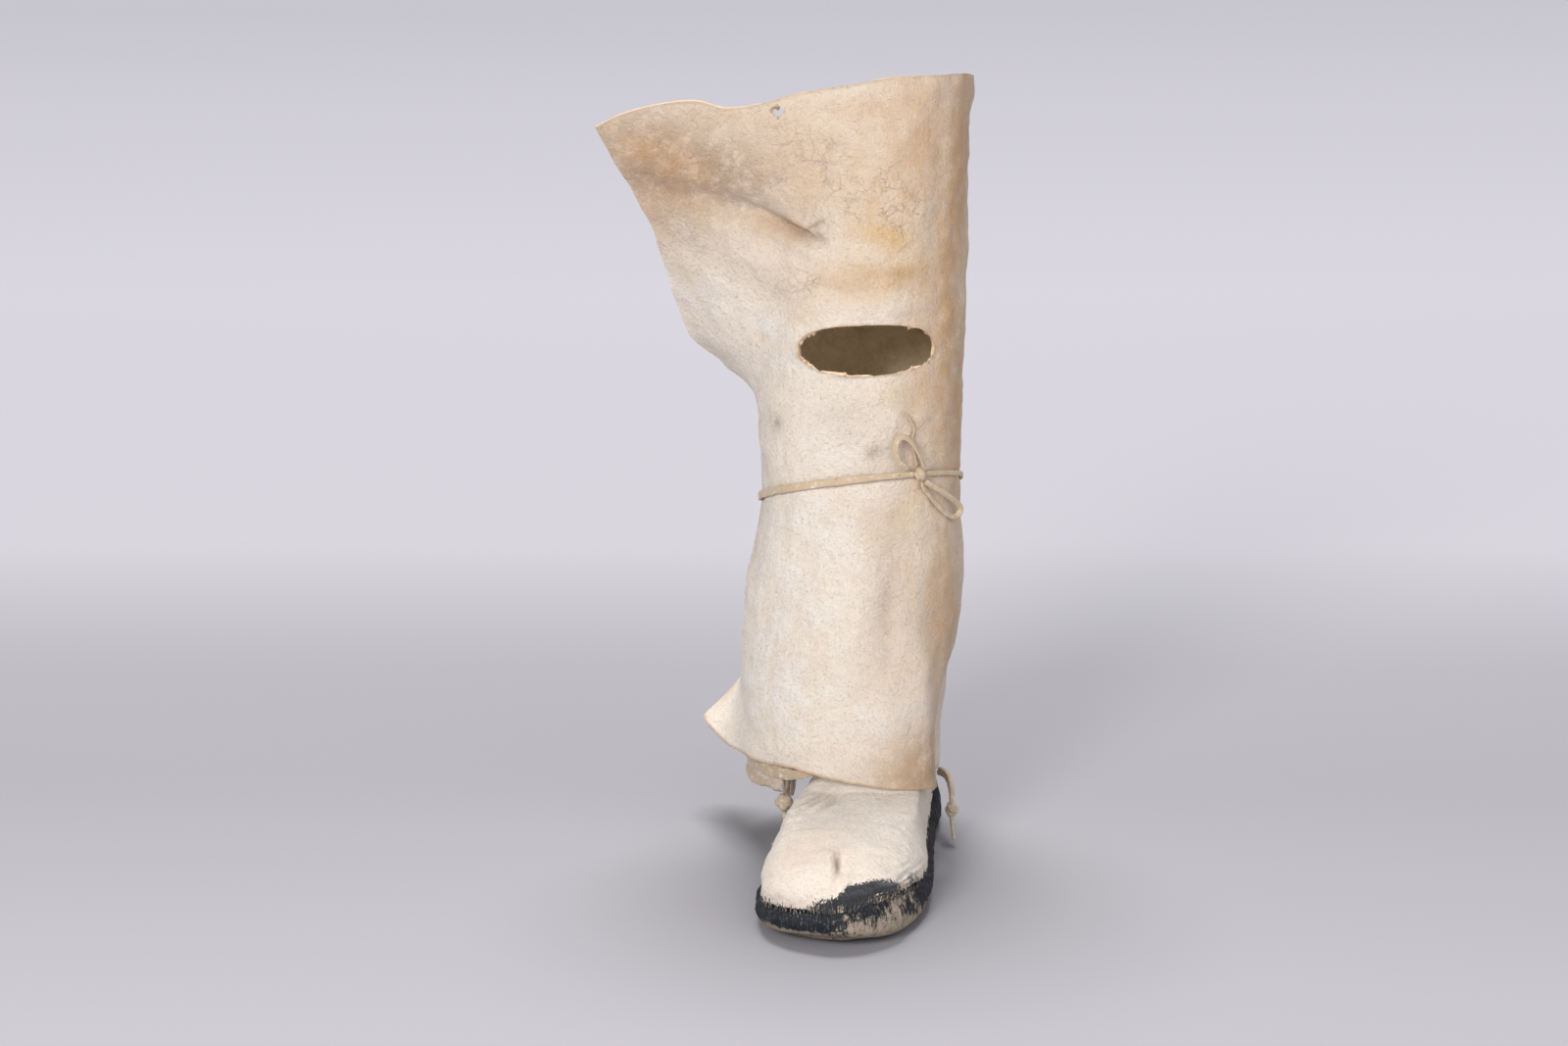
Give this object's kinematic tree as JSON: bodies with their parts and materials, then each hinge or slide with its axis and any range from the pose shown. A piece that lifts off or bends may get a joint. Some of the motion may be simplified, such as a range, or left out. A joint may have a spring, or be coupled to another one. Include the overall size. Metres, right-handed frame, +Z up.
{
  "type": "high-top moccasin",
  "caption": "High-top moccasin for the right foot: cupped rawhide sole, soft hide upper, and a hide legging wrapped round the leg with a cut window and a bow-tied thong.",
  "frame": {"origin": "on the floor, at the middle of the heel's flat patch under the sole", "axes": "+Z up; the toe points to -Y; +X is the big-toe side of this right shoe"},
  "size_m": [0.2064, 0.2577, 0.456],
  "materials": {
    "leg_hide": "soft napped off-white hide, worn",
    "foot_hide": "soft napped off-white hide, worn",
    "rawhide": "stiff rawhide with a black-dyed, worn edge",
    "thong": "plain tan hide strip"
  },
  "bodies": {
    "root": {"sole": "rawhide", "upper": "foot_hide", "legging": "leg_hide", "inner_flap": "leg_hide", "calf_tie": "thong", "calf_knot": "thong", "bow_loop_upper": "thong", "bow_loop_lower": "thong", "bow_end": "thong", "ankle_knot": "thong", "ankle_end": "thong", "heel_thong": "thong", "heel_thong_knot": "thong", "heel_tail": "thong"}
  },
  "joints": []
}
